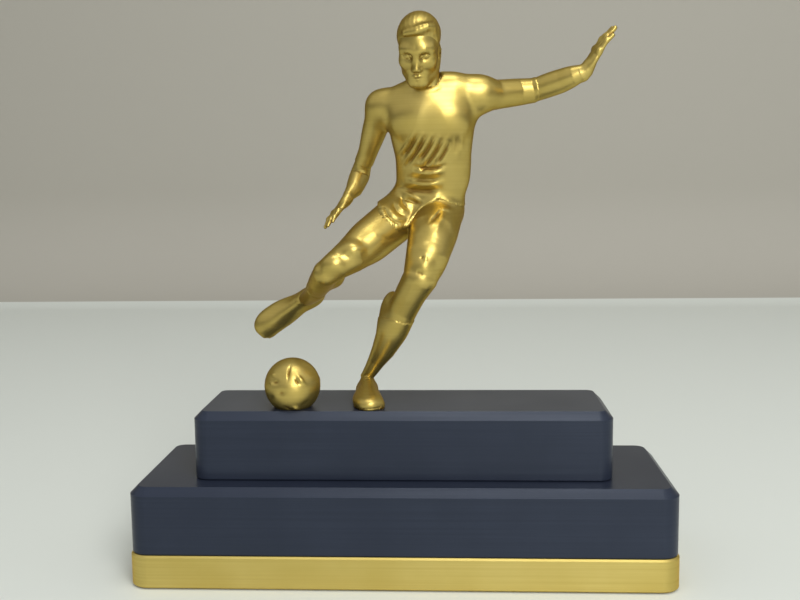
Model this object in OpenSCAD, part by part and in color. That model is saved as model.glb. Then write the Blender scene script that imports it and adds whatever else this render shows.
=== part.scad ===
// Football trophy: a gold player about to strike a ball, on a black plinth of
// two hollow tiers that stands in a gold band. The player and the ball are held
// by screws from inside the upper tier, the upper tier by screws from inside the
// lower tier, and the band closes the underside.

/* [Base band] */
// Width of the band
band_w = 180; // [150:1:220]
// Depth of the band
band_d = 58; // [50:1:80]
// Height of the band
band_h = 11; // [9:0.5:20]
// Thickness of the band's floor
band_floor = 3; // [2.4:0.2:4]
// How far the band stands out past the lower tier on each side
band_ledge = 0.5; // [0.4:0.1:2]
// Chamfer along the band's top edge
band_chamfer = 0.6; // [0.3:0.1:1]
// Height of the lip that keys into the lower tier
lip_h = 3; // [2:0.5:5]
// Thickness of the lip
lip_wall = 1.6; // [1.2:0.2:2.4]

/* [Tiers] */
// Height of the lower tier
lower_h = 22.5; // [18:0.5:40]
// Height of the upper tier
upper_h = 23; // [18:0.5:40]
// Width of the upper tier
upper_w = 139; // [120:1:160]
// Depth of the upper tier
upper_d = 38; // [34:1:46]
// Wall of both tiers
tier_wall = 2.4; // [2:0.2:3.2]
// Thickness of the lower tier's roof
lower_roof = 3; // [2.4:0.2:4]
// Thickness of the upper tier's roof
upper_roof = 4; // [3:0.2:5]
// Radius of the upright corners of the lower tier
lower_corner = 6; // [5:0.5:9]
// Radius of the upright corners of the upper tier
upper_corner = 5; // [5:0.5:9]
// Chamfer along the tiers' top edges
tier_chamfer = 2.6; // [1.4:0.1:4]
// Chamfer along the bottom edges of the band and the tiers
edge_relief = 0.5; // [0.3:0.1:0.8]

/* [Ball] */
// Diameter of the ball
ball_d = 18.8; // [16:0.2:22]
// Height that is cut off the ball to seat it
ball_flat = 2.2; // [0.8:0.1:3]
// Place of the ball across the plinth
ball_x = -37; // [-45:1:-30]
// Place of the ball along the plinth's depth
ball_y = -9; // [-9:1:0]

/* [Figure] */
// Height of the figure from its sole to its crown
figure_h = 128.5; // [105:0.5:160]
// Place of the standing sole's centre across the plinth
foot_x = -12; // [-14:1:10]
// Place of the standing sole's centre along the plinth's depth
foot_y = -5; // [-6:1:2]

/* [Fasteners] */
// Radius of a screw's threaded shank
screw_r = 1.45; // [1.2:0.05:1.7]
// Radius of a screw's head
head_r = 2.75; // [2.5:0.05:3.2]
// Height of a screw's head
head_h = 2.2; // [1.6:0.1:3]
// Radius of the socket in a screw's head
socket_r = 1.15; // [1:0.05:1.4]
// Length of the screws that hold the figure and the ball
top_screw_l = 9; // [8:0.5:11]
// Length of the screws that hold the upper tier
tier_screw_l = 8; // [7:0.5:10]
// Length of the screws that hold the band
band_screw_l = 10; // [9:0.5:12]
// Outer radius of a washer
washer_r = 3.5; // [3:0.1:4]
// Thickness of a washer
washer_t = 0.5; // [0.4:0.1:0.8]
// Outer radius of a threaded insert
insert_r = 2.1; // [2:0.05:2.5]
// Length of a threaded insert
insert_l = 5; // [4:0.5:6]
// Outer radius of a boss that holds an insert
boss_r = 4.5; // [4:0.1:5.5]
// Radius of the dowel that stops the figure turning
dowel_r = 1; // [0.8:0.1:1.2]
// Length of the dowel
dowel_l = 5.5; // [4:0.5:7]

/* [Pads] */
// Radius of a rubber pad
pad_r = 5; // [4:0.5:7]
// Thickness of a rubber pad
pad_t = 1.6; // [1:0.1:2]
// How far a pad stands below the band
pad_proud = 0.4; // [0.2:0.1:0.8]

/* [Hidden] */

$fn = 64;
eps = 0.01;
gap = 0.05;              // clearance of a shank, dowel or insert in its hole
slip = 0.25;             // clearance of the band's lip in the lower tier
shank_gap = 0.25;        // clearance of a screw's shank in a plain hole
head_gap = 0.5;          // clearance of a screw's head in a counterbore

lower_w = band_w - 2 * band_ledge;
lower_d = band_d - 2 * band_ledge;
band_corner = lower_corner + band_ledge;
band_z = pad_proud;                     // underside of the band
lower_z = band_z + band_h;              // underside of the lower tier
upper_z = lower_z + lower_h;            // underside of the upper tier
deck_z = upper_z + upper_h;             // face that the figure stands on
band_wall = band_ledge + tier_wall;

band_boss_x = lower_w / 2 - tier_wall - boss_r - lip_wall - 2;
band_boss_y = lower_d / 2 - tier_wall - boss_r - lip_wall - 2;
tier_boss_x = upper_w / 2 - tier_wall - boss_r - 4;
tier_boss_y = upper_d / 2 - tier_wall - boss_r - 2;
pad_x = band_w / 2 - band_wall - 2 * boss_r - pad_r - 8;
pad_y = band_d / 2 - pad_r - 5;
band_seat_z = lower_z - (band_screw_l - insert_l - 0.5); // where a band screw's head bears

ball_r = ball_d / 2;

// Posture of the player, as offsets in millimetres from the centre of the
// standing sole, for a figure of the nominal height.
nominal_h = 128.5;
grow = figure_h / nominal_h;
ankle_l = [-0.9, 10.5, 7.5];
shin_l = [11, 1, 33];
knee_l = [17.8, -6, 45.4];
hip_l = [25, 16.5, 64.8];
hip_r = [13.5, 16.5, 65];
knee_r = [-10, -6, 47.6];
shin_r = [-14.8, 5.5, 41.9];
ankle_r = [-24, 24.5, 33.3];
pelvis = [20.8, 16.5, 67];
waist = [22.6, 13, 76];
belly = [22.8, 9.5, 83];
chest = [22.4, 4.5, 95];
neck = [21.8, 0.5, 105.5];
skull = [18.8, -7, 118.4];
shoulder_l = [35.9, 4, 103.4];
elbow_l = [56.6, 13, 104.7];
wrist_l = [73.2, 6.5, 110.8];
shoulder_r = [5.8, 6, 98.7];
elbow_r = [-3.9, 20.5, 80.9];
wrist_r = [-6.7, 9, 68.9];

// Directions of the boots, the hands and the head
boot_l_toe = [0.11, -1, 0];
boot_l_up = [0, 0, 1];
boot_r_toe = [-0.8, 0.09, -0.56];
boot_r_up = [-0.21, -0.97, 0.07];
hand_l_tip = [0.56, -0.12, 0.83];
hand_l_back = [-0.8, -0.3, 0.5];
hand_r_tip = [-0.46, -0.6, -0.62];
hand_r_back = [-0.6, -0.3, 0.6];
face_front = [-0.1, -0.84, -0.5];
face_up = [-0.03, -0.5, 0.85];

insert_y = 2;            // the figure's insert, behind the middle of the sole
dowel_y = -6;            // the figure's dowel, under the ball of the foot
figure_fn = 18;

function unit(v) = v / norm(v);
function side_of(front, up) = unit(cross(front, up));
function square_up(front, up) = unit(cross(side_of(front, up), front));
function between(a, b, t) = a + (b - a) * t;
function corners(x, y) = [[-x, -y], [x, -y], [x, y], [-x, y]];
function on_sole(y) = [foot_x + boot_l_toe.x * -y * grow, foot_y + y * grow];

// ---- Shared shapes ----

module round_rect(w, d, r) {
    square([w - 2 * r, d], center = true);
    square([w, d - 2 * r], center = true);
    for (c = corners(w / 2 - r, d / 2 - r)) translate(c) circle(r);
}

// Section of a block's edge, from its corner's centre outwards, with the chamfer
// top along the upper edge
module edge_section(w, h, top) {
    polygon([[0, 0], [w - edge_relief, 0], [w, edge_relief], [w, h - top], [w - top, h], [0, h]]);
}

// Block with upright round corners and chamfered edges
module block(w, d, h, corner, top) {
    x = w / 2 - corner;
    y = d / 2 - corner;
    translate([-x, -y, 0]) cube([2 * x, 2 * y, h]);
    for (s = [0, 180]) rotate([0, 0, s]) {
        translate([x, y, 0]) rotate([90, 0, 0]) linear_extrude(2 * y) edge_section(corner, h, top);
        translate([-x, y, 0]) rotate([90, 0, 90]) linear_extrude(2 * x) edge_section(corner, h, top);
        translate([x, y, 0]) rotate_extrude(angle = 90) edge_section(corner, h, top);
        translate([-x, y, 0]) rotate([0, 0, 90]) rotate_extrude(angle = 90) edge_section(corner, h, top);
    }
}

// Hollow tier, open at the bottom
module tier_shell(w, d, h, corner, roof) {
    difference() {
        block(w, d, h, corner, tier_chamfer);
        translate([0, 0, -eps])
            linear_extrude(h - roof + eps)
                round_rect(w - 2 * tier_wall, d - 2 * tier_wall, corner - tier_wall);
    }
}

// Boss that hangs from a roof and holds an insert at its foot
module boss(h) {
    difference() {
        cylinder(r = boss_r, h = h);
        translate([0, 0, -eps]) cylinder(r = insert_r + gap, h = insert_l + 1);
    }
}

module threaded_insert() {
    difference() {
        union() {
            cylinder(r = insert_r - 0.25, h = insert_l);
            for (z = [0, insert_l - 2]) translate([0, 0, z]) cylinder(r = insert_r, h = 2);
        }
        translate([0, 0, -eps]) cylinder(r = screw_r + gap, h = insert_l + 2 * eps);
    }
}

// Screw with its head down: the shank rises from z = 0
module screw(length) {
    difference() {
        union() {
            cylinder(r = screw_r, h = length);
            translate([0, 0, -head_h]) cylinder(r = head_r, h = head_h);
        }
        translate([0, 0, -head_h - eps]) cylinder(r = socket_r, h = head_h * 0.6, $fn = 6);
    }
}

module washer() {
    difference() {
        cylinder(r = washer_r, h = washer_t);
        translate([0, 0, -eps]) cylinder(r = screw_r + shank_gap, h = washer_t + 2 * eps);
    }
}

// ---- Plinth ----

module base_band() {
    color("goldenrod")
    difference() {
        union() {
            difference() {
                translate([0, 0, band_z]) block(band_w, band_d, band_h, band_corner, band_chamfer);
                translate([0, 0, band_z + band_floor])
                    linear_extrude(band_h)
                        round_rect(band_w - 2 * band_wall, band_d - 2 * band_wall, band_corner - band_wall);
            }
            difference() {
                translate([0, 0, band_z + band_floor])
                    linear_extrude(band_h - band_floor + lip_h)
                        round_rect(lower_w - 2 * (tier_wall + slip), lower_d - 2 * (tier_wall + slip),
                                   lower_corner - tier_wall - slip);
                translate([0, 0, band_z + band_floor])
                    linear_extrude(band_h + lip_h)
                        round_rect(lower_w - 2 * (tier_wall + slip + lip_wall),
                                   lower_d - 2 * (tier_wall + slip + lip_wall),
                                   lower_corner - tier_wall - slip - lip_wall);
            }
            translate([0, 0, band_z + band_floor]) linear_extrude(band_h - band_floor)
                for (c = corners(band_boss_x, band_boss_y)) translate(c) circle(boss_r);
        }
        for (c = corners(band_boss_x, band_boss_y)) translate([c.x, c.y, 0]) {
            cylinder(r = screw_r + shank_gap, h = lower_z + 1);
            cylinder(r = head_r + head_gap, h = band_seat_z);
        }
        for (c = corners(pad_x, pad_y)) translate([c.x, c.y, 0]) cylinder(r = pad_r + slip, h = pad_t);
    }
}

module lower_tier() {
    color("black")
    translate([0, 0, lower_z])
    difference() {
        union() {
            tier_shell(lower_w, lower_d, lower_h, lower_corner, lower_roof);
            for (c = corners(band_boss_x, band_boss_y)) translate([c.x, c.y, 0]) boss(lower_h - lower_roof);
        }
        for (c = corners(tier_boss_x, tier_boss_y))
            translate([c.x, c.y, lower_h - lower_roof - 1]) cylinder(r = screw_r + shank_gap, h = lower_roof + 2);
    }
}

module upper_tier() {
    color("black")
    difference() {
        translate([0, 0, upper_z]) union() {
            tier_shell(upper_w, upper_d, upper_h, upper_corner, upper_roof);
            for (c = corners(tier_boss_x, tier_boss_y)) translate([c.x, c.y, 0]) boss(upper_h - upper_roof);
        }
        for (c = [on_sole(insert_y), [ball_x, ball_y]])
            translate([c.x, c.y, deck_z - upper_roof - 1]) cylinder(r = screw_r + shank_gap, h = upper_roof + 2);
        translate([on_sole(dowel_y).x, on_sole(dowel_y).y, deck_z - dowel_l / 2])
            cylinder(r = dowel_r + gap, h = dowel_l);
    }
}

module rubber_pads() {
    color("dimgray")
    for (c = corners(pad_x, pad_y)) translate([c.x, c.y, 0]) cylinder(r = pad_r, h = pad_t);
}

// ---- Fasteners ----

module top_insert(place) {
    color("gold") translate([place.x, place.y, deck_z]) threaded_insert();
}

module top_screw(place) {
    color("silver") translate([place.x, place.y, deck_z - upper_roof - washer_t]) screw(top_screw_l);
}

module top_washer(place) {
    color("silver") translate([place.x, place.y, deck_z - upper_roof - washer_t]) washer();
}

module figure_dowel() {
    color("silver")
    translate([on_sole(dowel_y).x, on_sole(dowel_y).y, deck_z - dowel_l / 2]) cylinder(r = dowel_r, h = dowel_l);
}

module tier_inserts() {
    color("gold")
    for (c = corners(tier_boss_x, tier_boss_y)) translate([c.x, c.y, upper_z]) threaded_insert();
}

module tier_screws() {
    color("silver")
    for (c = corners(tier_boss_x, tier_boss_y))
        translate([c.x, c.y, upper_z - lower_roof - washer_t]) screw(tier_screw_l);
}

module tier_washers() {
    color("silver")
    for (c = corners(tier_boss_x, tier_boss_y))
        translate([c.x, c.y, upper_z - lower_roof - washer_t]) washer();
}

module band_inserts() {
    color("gold")
    for (c = corners(band_boss_x, band_boss_y)) translate([c.x, c.y, lower_z]) threaded_insert();
}

module band_screws() {
    color("silver")
    for (c = corners(band_boss_x, band_boss_y)) translate([c.x, c.y, band_seat_z]) screw(band_screw_l);
}

// ---- Ball ----

module ball() {
    color("goldenrod")
    difference() {
        translate([ball_x, ball_y, deck_z + ball_r - ball_flat]) sphere(ball_r);
        translate([ball_x - ball_r, ball_y - ball_r, deck_z - ball_r]) cube([ball_d, ball_d, ball_r]);
        translate([ball_x, ball_y, deck_z - eps]) cylinder(r = insert_r + gap, h = insert_l + 1);
    }
}

// ---- Figure ----

// Ball of a limb, stretched to size
module lump(place, size, n = figure_fn) {
    translate(place) scale(size) sphere(1, $fn = n);
}

// Limb through a row of [place, radius] pairs
module limb(rows, n = figure_fn) {
    for (i = [0 : len(rows) - 2]) hull() {
        lump(rows[i][0], rows[i][1] * [1, 1, 1], n);
        lump(rows[i + 1][0], rows[i + 1][1] * [1, 1, 1], n);
    }
}

// Turns a part whose front is -Y and whose top is +Z to face front with up
module turned(place, front, up) {
    f = unit(front);
    u = square_up(front, up);
    s = cross(u, f);
    multmatrix([[s.x, -f.x, u.x, place.x], [s.y, -f.y, u.y, place.y],
                [s.z, -f.z, u.z, place.z], [0, 0, 0, 1]])
        children();
}

// Boot with its ankle at the origin, 8 above the sole, and its toe's centre at y = -toe
module boot(toe) {
    hull() {
        lump([0, 0.4, -0.2], [2.8, 3.4, 1.4]);
        lump([0, 1.2, -4.8], [3.5, 4.2, 3.4]);
        lump([0, -12.8, -5], [4.4, 5.2, 2.7]);
    }
    hull() {
        lump([0, -12.8, -5], [4.8, 5.2, 2.8]);
        lump([0.4, -toe, -5.4], [3.9, 3.9, 2.2]);
    }
    hull() {
        lump([0, 1, -6.2], [3.7, 4.4, 1.8]);
        lump([0.2, -15, -6.2], [4.8, 6.8, 1.8]);
    }
}

// Hand with its wrist at the origin, fingers along -Y and its back up
module hand(side) {
    hull() {
        lump([0, 0.4, 0], [1.8, 1.6, 1.5], 14);
        lump([0, -6.6, 0], [3, 2.2, 1.3], 14);
    }
    for (f = [[-2.2, -12.8], [-0.75, -14.8], [0.75, -14.3], [2.2, -12.4]]) limb([
        [[f.x, -7, 0], 0.95], [[f.x * 1.1, f.y, -0.6], 0.75]
    ], 10);
    limb([[[side * 1.8, -2, -0.4], 1.2], [[side * 3.6, -6, -1.6], 1], [[side * 3.9, -9, -2], 0.8]], 10);
}

// Head with the middle of the skull at the origin
module head() {
    lump([0, 1, 1.6], [7, 8.4, 8]);
    hull() {
        lump([0, -1.2, 0], [6.1, 6.8, 5.6]);
        lump([0, -4, -7.6], [3.9, 3.4, 3]);
        lump([0, -6, -10], [2.2, 2, 1.8]);
    }
    hull() {
        lump([0, -7.2, -1.6], [0.8, 0.8, 0.9], 12);
        lump([0, -8.5, -4.1], [1.25, 1, 0.9], 12);
    }
    for (s = [-1, 1]) lump([s * 6.5, 0.8, -1.8], [0.8, 1.7, 2.4], 12);
}

module torso() {
    hull() {
        lump(pelvis, [10.8, 8, 7.2]);
        lump(waist, [12, 7.6, 6]);
    }
    hull() {
        lump(waist, [12, 7.6, 6]);
        lump(belly, [12.1, 7.8, 6]);
    }
    hull() {
        lump(belly, [12.1, 7.8, 6]);
        lump(chest, [14.4, 8.6, 8]);
    }
    hull() {
        lump(chest, [14.4, 8.6, 8]);
        lump(between(neck, chest, 0.15), [9, 6, 4]);
    }
    hull() {
        lump(chest, [10, 8, 7]);
        lump(shoulder_l, [4.8, 5, 5.2]);
        lump(neck, [6, 4.6, 3.4]);
    }
    hull() {
        lump(chest, [10, 8, 7]);
        lump(shoulder_r, [4.6, 5, 4.9]);
        lump(neck, [6, 4.6, 3.4]);
    }
    limb([[neck, 4.4], [between(neck, skull, 0.6), 4.2]]);
}

module leg_l() {
    limb([[hip_l, 8], [between(hip_l, knee_l, 0.35), 7.5], [between(hip_l, knee_l, 0.75), 6.2],
          [knee_l, 5.4], [shin_l, 5.3], [between(shin_l, ankle_l, 0.35), 4.5],
          [between(shin_l, ankle_l, 0.7), 2.7], [ankle_l, 2.1]]);
    turned(ankle_l, boot_l_toe, boot_l_up) boot(18.4);
}

module leg_r() {
    limb([[hip_r, 7.8], [between(hip_r, knee_r, 0.4), 7.1], [between(hip_r, knee_r, 0.8), 5.2],
          [knee_r, 4.6], [shin_r, 5.6], [between(shin_r, ankle_r, 0.5), 4.2],
          [between(shin_r, ankle_r, 0.85), 2.9], [ankle_r, 2.6]]);
    turned(ankle_r, boot_r_toe, boot_r_up) boot(20.2);
}

module arm_l() {
    limb([[shoulder_l, 5.6], [between(shoulder_l, elbow_l, 0.4), 5], [between(shoulder_l, elbow_l, 0.95), 4.4],
          [between(elbow_l, wrist_l, 0.35), 3.7], [wrist_l, 2.1]]);
    turned(wrist_l, hand_l_tip, hand_l_back) scale(1.1) hand(1);
}

module arm_r() {
    limb([[shoulder_r, 4.9], [between(shoulder_r, elbow_r, 0.4), 4.1], [elbow_r, 3.3],
          [between(elbow_r, wrist_r, 0.35), 3.2], [wrist_r, 1.8]]);
    turned(wrist_r, hand_r_tip, hand_r_back) scale(0.88) hand(-1);
}

module player() {
    torso();
    leg_l();
    leg_r();
    arm_l();
    arm_r();
    turned(skull, face_front, face_up) head();
}

module figure() {
    color("gold")
    difference() {
        translate([foot_x, foot_y, deck_z]) scale(grow) player();
        translate([foot_x - 20, foot_y - 30, deck_z - 20]) cube([40, 60, 20]);
        translate([on_sole(insert_y).x, on_sole(insert_y).y, deck_z - eps])
            cylinder(r = insert_r + 3 * gap, h = insert_l + 0.5);
        translate([on_sole(dowel_y).x, on_sole(dowel_y).y, deck_z - eps])
            cylinder(r = dowel_r + 3 * gap, h = dowel_l / 2 + 0.3);
    }
}

base_band();
lower_tier();
upper_tier();
figure();
ball();
top_insert(on_sole(insert_y));  // figure_insert
top_screw(on_sole(insert_y));  // figure_screw
top_washer(on_sole(insert_y));  // figure_washer
figure_dowel();
top_insert([ball_x, ball_y]);  // ball_insert
top_screw([ball_x, ball_y]);  // ball_screw
top_washer([ball_x, ball_y]);  // ball_washer
tier_inserts();
tier_screws();
tier_washers();
band_inserts();
band_screws();
rubber_pads();
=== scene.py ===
"""Looks of a football figure trophy: a gold player and ball on a black plinth in a gold band."""
import math

import bmesh
import bpy
import numpy as np
from mathutils import Matrix, Vector


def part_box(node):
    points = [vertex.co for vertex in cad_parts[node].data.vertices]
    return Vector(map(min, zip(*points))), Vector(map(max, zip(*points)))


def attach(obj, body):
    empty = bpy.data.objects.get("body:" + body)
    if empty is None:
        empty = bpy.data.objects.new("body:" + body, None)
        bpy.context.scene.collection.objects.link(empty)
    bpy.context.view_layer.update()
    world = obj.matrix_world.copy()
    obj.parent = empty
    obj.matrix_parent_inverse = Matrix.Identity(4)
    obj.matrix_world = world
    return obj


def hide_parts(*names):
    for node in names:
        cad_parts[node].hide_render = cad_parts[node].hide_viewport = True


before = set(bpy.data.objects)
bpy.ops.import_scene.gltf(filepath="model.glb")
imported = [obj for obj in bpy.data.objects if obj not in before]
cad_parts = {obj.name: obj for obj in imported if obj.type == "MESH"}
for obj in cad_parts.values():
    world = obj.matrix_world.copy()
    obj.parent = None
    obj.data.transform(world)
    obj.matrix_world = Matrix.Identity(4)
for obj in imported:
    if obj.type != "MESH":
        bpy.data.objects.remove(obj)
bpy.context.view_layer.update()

MM = 0.001
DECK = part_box("upper_tier")[1].z / MM                  # face that the player stands on
INSERT = (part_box("figure_insert")[0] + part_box("figure_insert")[1]) / 2
FOOT = np.array([INSERT.x / MM + 0.22, INSERT.y / MM - 2.0, DECK])

# Posture of the player, in millimetres from the centre of the standing sole
ANKLE_L, KNEE_L, HIP_L = (-0.9, 10.5, 7.5), (18.5, -4.5, 43.4), (25, 16.5, 64.8)
ANKLE_R, KNEE_R, HIP_R = (-24, 24.5, 33.3), (-11, -5, 46.6), (13.5, 16.5, 65)
PELVIS, WAIST, BELLY, CHEST = (20.8, 16.5, 67), (22.6, 13, 76), (22.8, 9.5, 83), (22.4, 4.5, 95)
NECK, SKULL = (21.8, 0.5, 105.5), (18.8, -7, 118.4)
SHOULDER_L, ELBOW_L, WRIST_L = (38.6, 5, 103.6), (56.9, 13, 105), (73.4, 6.5, 110.6)
SHOULDER_R, ELBOW_R, WRIST_R = (5.8, 6, 100.1), (-2.2, 19, 80.3), (-7.1, 9, 68.6)


# ---------------------------------------------------------------- small helpers

def unit(v):
    v = np.array(v, float)
    return v / np.linalg.norm(v)


def along(a, b, t):
    a, b = np.array(a, float), np.array(b, float)
    return a + (b - a) * t


def turned(front, up):
    """Axes, as columns, of a part whose front is -Y and whose top is +Z, turned to face front."""
    f = unit(front)
    side = unit(np.cross(up, f))
    return np.stack([side, -f, np.cross(f, side)], axis=1)


BOOT_L = turned((0.11, -1, 0), (0, 0, 1))
BOOT_R = turned((-0.83, 0.09, -0.49), (-0.21, -0.97, 0.07))
HAND_L = turned((0.52, -0.12, 0.87), (-0.8, -0.3, 0.5))
HAND_R = turned((-0.49, -0.6, -0.62), (-0.6, -0.3, 0.6))
HEAD = turned((-0.1, -0.84, -0.5), (-0.03, -0.5, 0.85))
SPINE_UP = unit(np.subtract(CHEST, PELVIS))
SPINE = turned(SPINE_UP * SPINE_UP[1] - (0, 1, 0), SPINE_UP)


def local(p, origin, axes):
    return (p - np.array(origin, float)) @ axes


# ---------------------------------------------------------------- distances to shapes

def step(edge, width, v):
    """0 below the edge, 1 above it, with a smooth rise as wide as width."""
    t = np.clip((v - edge) / width + 0.5, 0, 1)
    return t * t * (3 - 2 * t)


def merge(a, b, soft):
    """Joins two shapes with a fillet."""
    h = np.maximum(soft - np.abs(a - b), 0) / soft
    return np.minimum(a, b) - h * h * soft / 4


def merge_all(shapes, soft):
    total = shapes[0]
    for s in shapes[1:]:
        total = merge(total, s, soft)
    return total


def carve(a, b, soft):
    """Takes shape b out of shape a, with a rounded edge."""
    return -merge(-a, b, soft)


def keep(a, side, soft):
    """Keeps the part of a where side is negative."""
    return -merge(-a, -side, soft)


def egg(p, centre, size):
    q = p - np.array(centre, float)
    size = np.array(size, float)
    k0 = np.linalg.norm(q / size, axis=1)
    k1 = np.linalg.norm(q / size ** 2, axis=1) + 1e-9
    return k0 * (k0 - 1) / k1


def smooth_table(at, values, blur):
    """Values between knots, rounded so that no kink shows on a glossy surface."""
    s = np.linspace(at[0], at[-1], 241)
    v = np.interp(s, at, values)
    reach = max(1, int(blur / (s[1] - s[0])))
    kernel = np.hanning(2 * reach + 3)
    padded = np.pad(v, reach + 1, mode="reflect", reflect_type="odd")
    return s, np.convolve(padded, kernel / kernel.sum(), "valid")


def tube(p, rows, blur=3.0):
    """Limb through a row of (place, radius), round all along."""
    pts = np.array([r[0] for r in rows], float)
    runs = np.diff(pts, axis=0)
    lengths = np.linalg.norm(runs, axis=1)
    starts = np.concatenate([[0], np.cumsum(lengths)])
    s_at, r_at = smooth_table(starts, [r[1] for r in rows], blur)
    best, where = np.full(len(p), 1e9), np.zeros(len(p))
    for start, run, length, s0 in zip(pts, runs, lengths, starts):
        t = np.clip((p - start) @ run / length ** 2, 0, 1)
        dist = np.linalg.norm(p - start - t[:, None] * run, axis=1)
        nearer = dist < best
        best = np.where(nearer, dist, best)
        where = np.where(nearer, s0 + t * length, where)
    return best - np.interp(where, s_at, r_at)


def beyond(p, place, direction):
    """Distance past a plane through place, along direction."""
    return (p - np.array(place, float)) @ unit(direction)


def line_distance(u, v, line):
    """Distance to a drawn line in the u, v plane, and how far along it the nearest place is, from 0 to 1."""
    lengths = [math.dist(a, b) for a, b in zip(line, line[1:])]
    best, where, start = np.full(len(u), 1e9), np.zeros(len(u)), 0.0
    for (u0, v0), (u1, v1), length in zip(line, line[1:], lengths):
        du, dv = u1 - u0, v1 - v0
        t = np.clip(((u - u0) * du + (v - v0) * dv) / length ** 2, 0, 1)
        d = (u - u0 - t * du) ** 2 + (v - v0 - t * dv) ** 2
        where = np.where(d < best, start + t * length, where)
        best = np.minimum(best, d)
        start += length
    return np.sqrt(best), where / start


def ridge(u, v, line, width):
    """1 on a drawn line in the u, v plane, falling off smoothly to each side and towards its ends."""
    away, t = line_distance(u, v, line)
    return np.exp(-(away / width) ** 2) * (0.25 + 0.75 * step(0.16, 0.32, np.minimum(t, 1 - t)))


# ---------------------------------------------------------------- rough body and its finish

def add_hull(bm, lumps):
    """Adds one closed hull round a few (centre, size) lumps."""
    part = bmesh.new()
    for centre, size in lumps:
        size = (size,) * 3 if np.isscalar(size) else size
        place = Matrix.Translation(Vector(centre)) @ Matrix.Diagonal((*size, 1))
        bmesh.ops.create_icosphere(part, subdivisions=2, radius=1, matrix=place)
    points = [v.co.copy() for v in part.verts]
    part.clear()
    for c in points:
        part.verts.new(c)
    bmesh.ops.convex_hull(part, input=part.verts[:])
    bmesh.ops.delete(part, geom=[v for v in part.verts if not v.link_faces], context="VERTS")
    shell = bpy.data.meshes.new("shell")
    part.to_mesh(shell)
    part.free()
    bm.from_mesh(shell)
    bpy.data.meshes.remove(shell)


def chain(rows, extra=0.0):
    """Lumps in pairs along a limb."""
    return [[(a[0], a[1] + extra), (b[0], b[1] + extra)] for a, b in zip(rows, rows[1:])]


def placed(lumps, origin, axes):
    """The same lumps, moved from a part's own frame; their size is averaged, as the finish corrects it."""
    return [(np.array(origin, float) + axes @ np.array(c, float),
             s if np.isscalar(s) else float(np.mean(s))) for c, s in lumps]


def rough_body(name, hulls, voxel):
    """Closed skin over overlapping hulls, in even quads a voxel wide."""
    bm = bmesh.new()
    for lumps in hulls:
        add_hull(bm, lumps)
    mesh = bpy.data.meshes.new(name)
    bm.to_mesh(mesh)
    bm.free()
    rough = bpy.data.objects.new(name, mesh)
    bpy.context.scene.collection.objects.link(rough)
    skin = rough.modifiers.new("skin", "REMESH")
    skin.mode, skin.voxel_size = "VOXEL", voxel
    finished = bpy.data.meshes.new_from_object(rough.evaluated_get(bpy.context.evaluated_depsgraph_get()))
    rough.modifiers.clear()
    rough.data = finished
    bpy.data.meshes.remove(mesh)
    return rough


def corners_of(mesh):
    co = np.zeros(len(mesh.vertices) * 3)
    mesh.vertices.foreach_get("co", co)
    return co.reshape(-1, 3)


def neighbours(mesh):
    ends = np.zeros(len(mesh.edges) * 2, np.int64)
    mesh.edges.foreach_get("vertices", ends)
    ends = ends.reshape(-1, 2)
    return np.concatenate([ends[:, 0], ends[:, 1]]), np.concatenate([ends[:, 1], ends[:, 0]])


def slope(field, p, d):
    h = 0.02
    g = np.stack([field(p + h * axis) - d for axis in np.eye(3)], axis=1) / h
    return g


def settle(mesh, field, rounds=6, longest=1.2):
    """Moves each corner onto the shape that field describes, and evens the quads out on the way."""
    p = corners_of(mesh)
    a, b = neighbours(mesh)
    count = np.bincount(a, minlength=len(p))[:, None]
    for i in range(rounds):
        d = field(p)
        g = slope(field, p, d)
        size = np.linalg.norm(g, axis=1) + 1e-6
        p = p - g / size[:, None] * np.clip(d / np.maximum(size, 0.35), -longest, longest)[:, None]
        if i < rounds - 2:
            sums = [np.bincount(a, weights=p[b, k], minlength=len(p)) for k in range(3)]
            mean = np.stack(sums, axis=1) / count
            drift = mean - p
            n = g / size[:, None]
            p = p + 0.6 * (drift - n * np.sum(drift * n, axis=1)[:, None])
    mesh.vertices.foreach_set("co", p.ravel())
    mesh.update()


def sculpt(name, hulls, field, voxel, rounds=6):
    """One closed piece of the player, in the row frame."""
    piece = rough_body(name, hulls, voxel)
    settle(piece.data, field, rounds)
    place = Matrix.Diagonal((MM, MM, MM, 1)) @ Matrix.Translation(Vector(FOOT))
    piece.data.transform(place)
    piece.data.polygons.foreach_set("use_smooth", [True] * len(piece.data.polygons))
    return piece


# ---------------------------------------------------------------- the player's body
LEG_L = [(HIP_L, 8), ((22.7, 5, 57.5), 8.1), ((20.8, -2, 50.6), 7.2), (KNEE_L, 5.8),
         ((15.3, -2, 38), 5.2),
         ((12.5, 1, 32.3), 4.9), ((8.5, 4, 24.3), 5.1), ((5.3, 6.5, 17.7), 3.9), ((2.8, 8.5, 13.5), 2.9),
         ((0.8, 9.5, 10.1), 2.35), (ANKLE_L, 1.95)]
LEG_R = [(HIP_R, 7.8), ((0.7, 3, 54.8), 7.3), ((-4.6, -2, 50.8), 6.0), ((-8.7, -5, 48.1), 5.0),
         ((-12.7, -5, 45.2), 4.4),
         ((-15.5, 2, 41.6), 4.1), ((-18.8, 12, 37.2), 3.5), ((-22.8, 22, 33.7), 2.7), (ANKLE_R, 2.4)]
ARM_L = [(SHOULDER_L, 5.3), ((43.6, 8, 103.4), 4.65), ((51.4, 12, 104.4), 4.3), (ELBOW_L, 3.85),
         ((61.7, 11, 106.5), 4.05),
         ((65.7, 9.5, 107.7), 4.0), ((69.6, 7.5, 109.1), 3.5),
         ((71.8, 6.8, 109.9), 2.75), (WRIST_L, 2.35)]
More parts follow.
